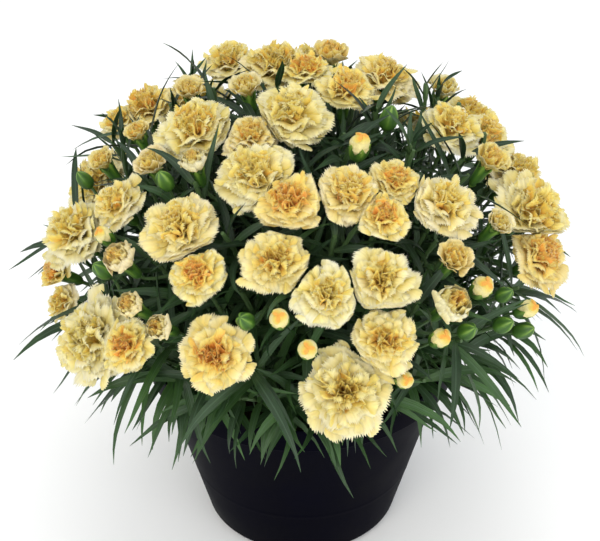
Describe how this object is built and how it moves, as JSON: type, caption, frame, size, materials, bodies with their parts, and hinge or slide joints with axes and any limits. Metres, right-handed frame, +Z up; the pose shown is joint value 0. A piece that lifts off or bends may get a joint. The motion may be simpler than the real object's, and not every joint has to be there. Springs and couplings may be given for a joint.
{
  "type": "potted dianthus plant",
  "caption": "Pot carnation in flower: a dense dome of frilled blooms, buds and narrow leaves over a round, tapered plastic pot with a rim band.",
  "frame": {"origin": "middle of the pot's flat underside", "axes": "+Z up along the pot's axis, -Y towards the front of the plant, +X to the right as seen from the front"},
  "size_m": [0.3038, 0.316, 0.2783],
  "materials": {
    "pot_plastic": "satin",
    "soil": "matte",
    "leaf": "satin",
    "petal": "matte"
  },
  "bodies": {
    "root": {"pot": "pot_plastic", "soil": "soil", "plant_01": "leaf", "plant_02": "leaf", "plant_03": "leaf", "plant_04": "leaf", "plant_05": "leaf", "plant_06": "leaf", "plant_07": "leaf", "plant_08": "leaf", "plant_09": "leaf", "plant_10": "leaf", "plant_11": "leaf", "plant_12": "leaf", "bloom_01": "petal", "bloom_02": "petal", "bloom_03": "petal", "bloom_04": "petal", "bloom_05": "petal", "bloom_06": "petal", "bloom_07": "petal", "bloom_08": "petal", "bloom_09": "petal", "bloom_10": "petal", "bloom_11": "petal", "bloom_12": "petal", "bloom_13": "petal", "bloom_14": "petal", "bloom_15": "petal", "bloom_16": "petal", "bloom_17": "petal", "bloom_18": "petal", "bloom_19": "petal", "bloom_20": "petal", "bloom_21": "petal", "bloom_22": "petal", "bloom_23": "petal", "bloom_24": "petal", "bloom_25": "petal", "bloom_26": "petal", "bloom_27": "petal", "bloom_28": "petal", "bloom_29": "petal", "bloom_30": "petal", "bloom_31": "petal", "bloom_32": "petal", "bloom_33": "petal", "bloom_34": "petal", "bloom_35": "petal", "bloom_36": "petal", "bloom_37": "petal", "bloom_38": "petal", "bloom_39": "petal", "bloom_40": "petal", "bloom_41": "petal", "bloom_42": "petal", "bloom_43": "petal", "bloom_44": "petal"}
  },
  "joints": []
}
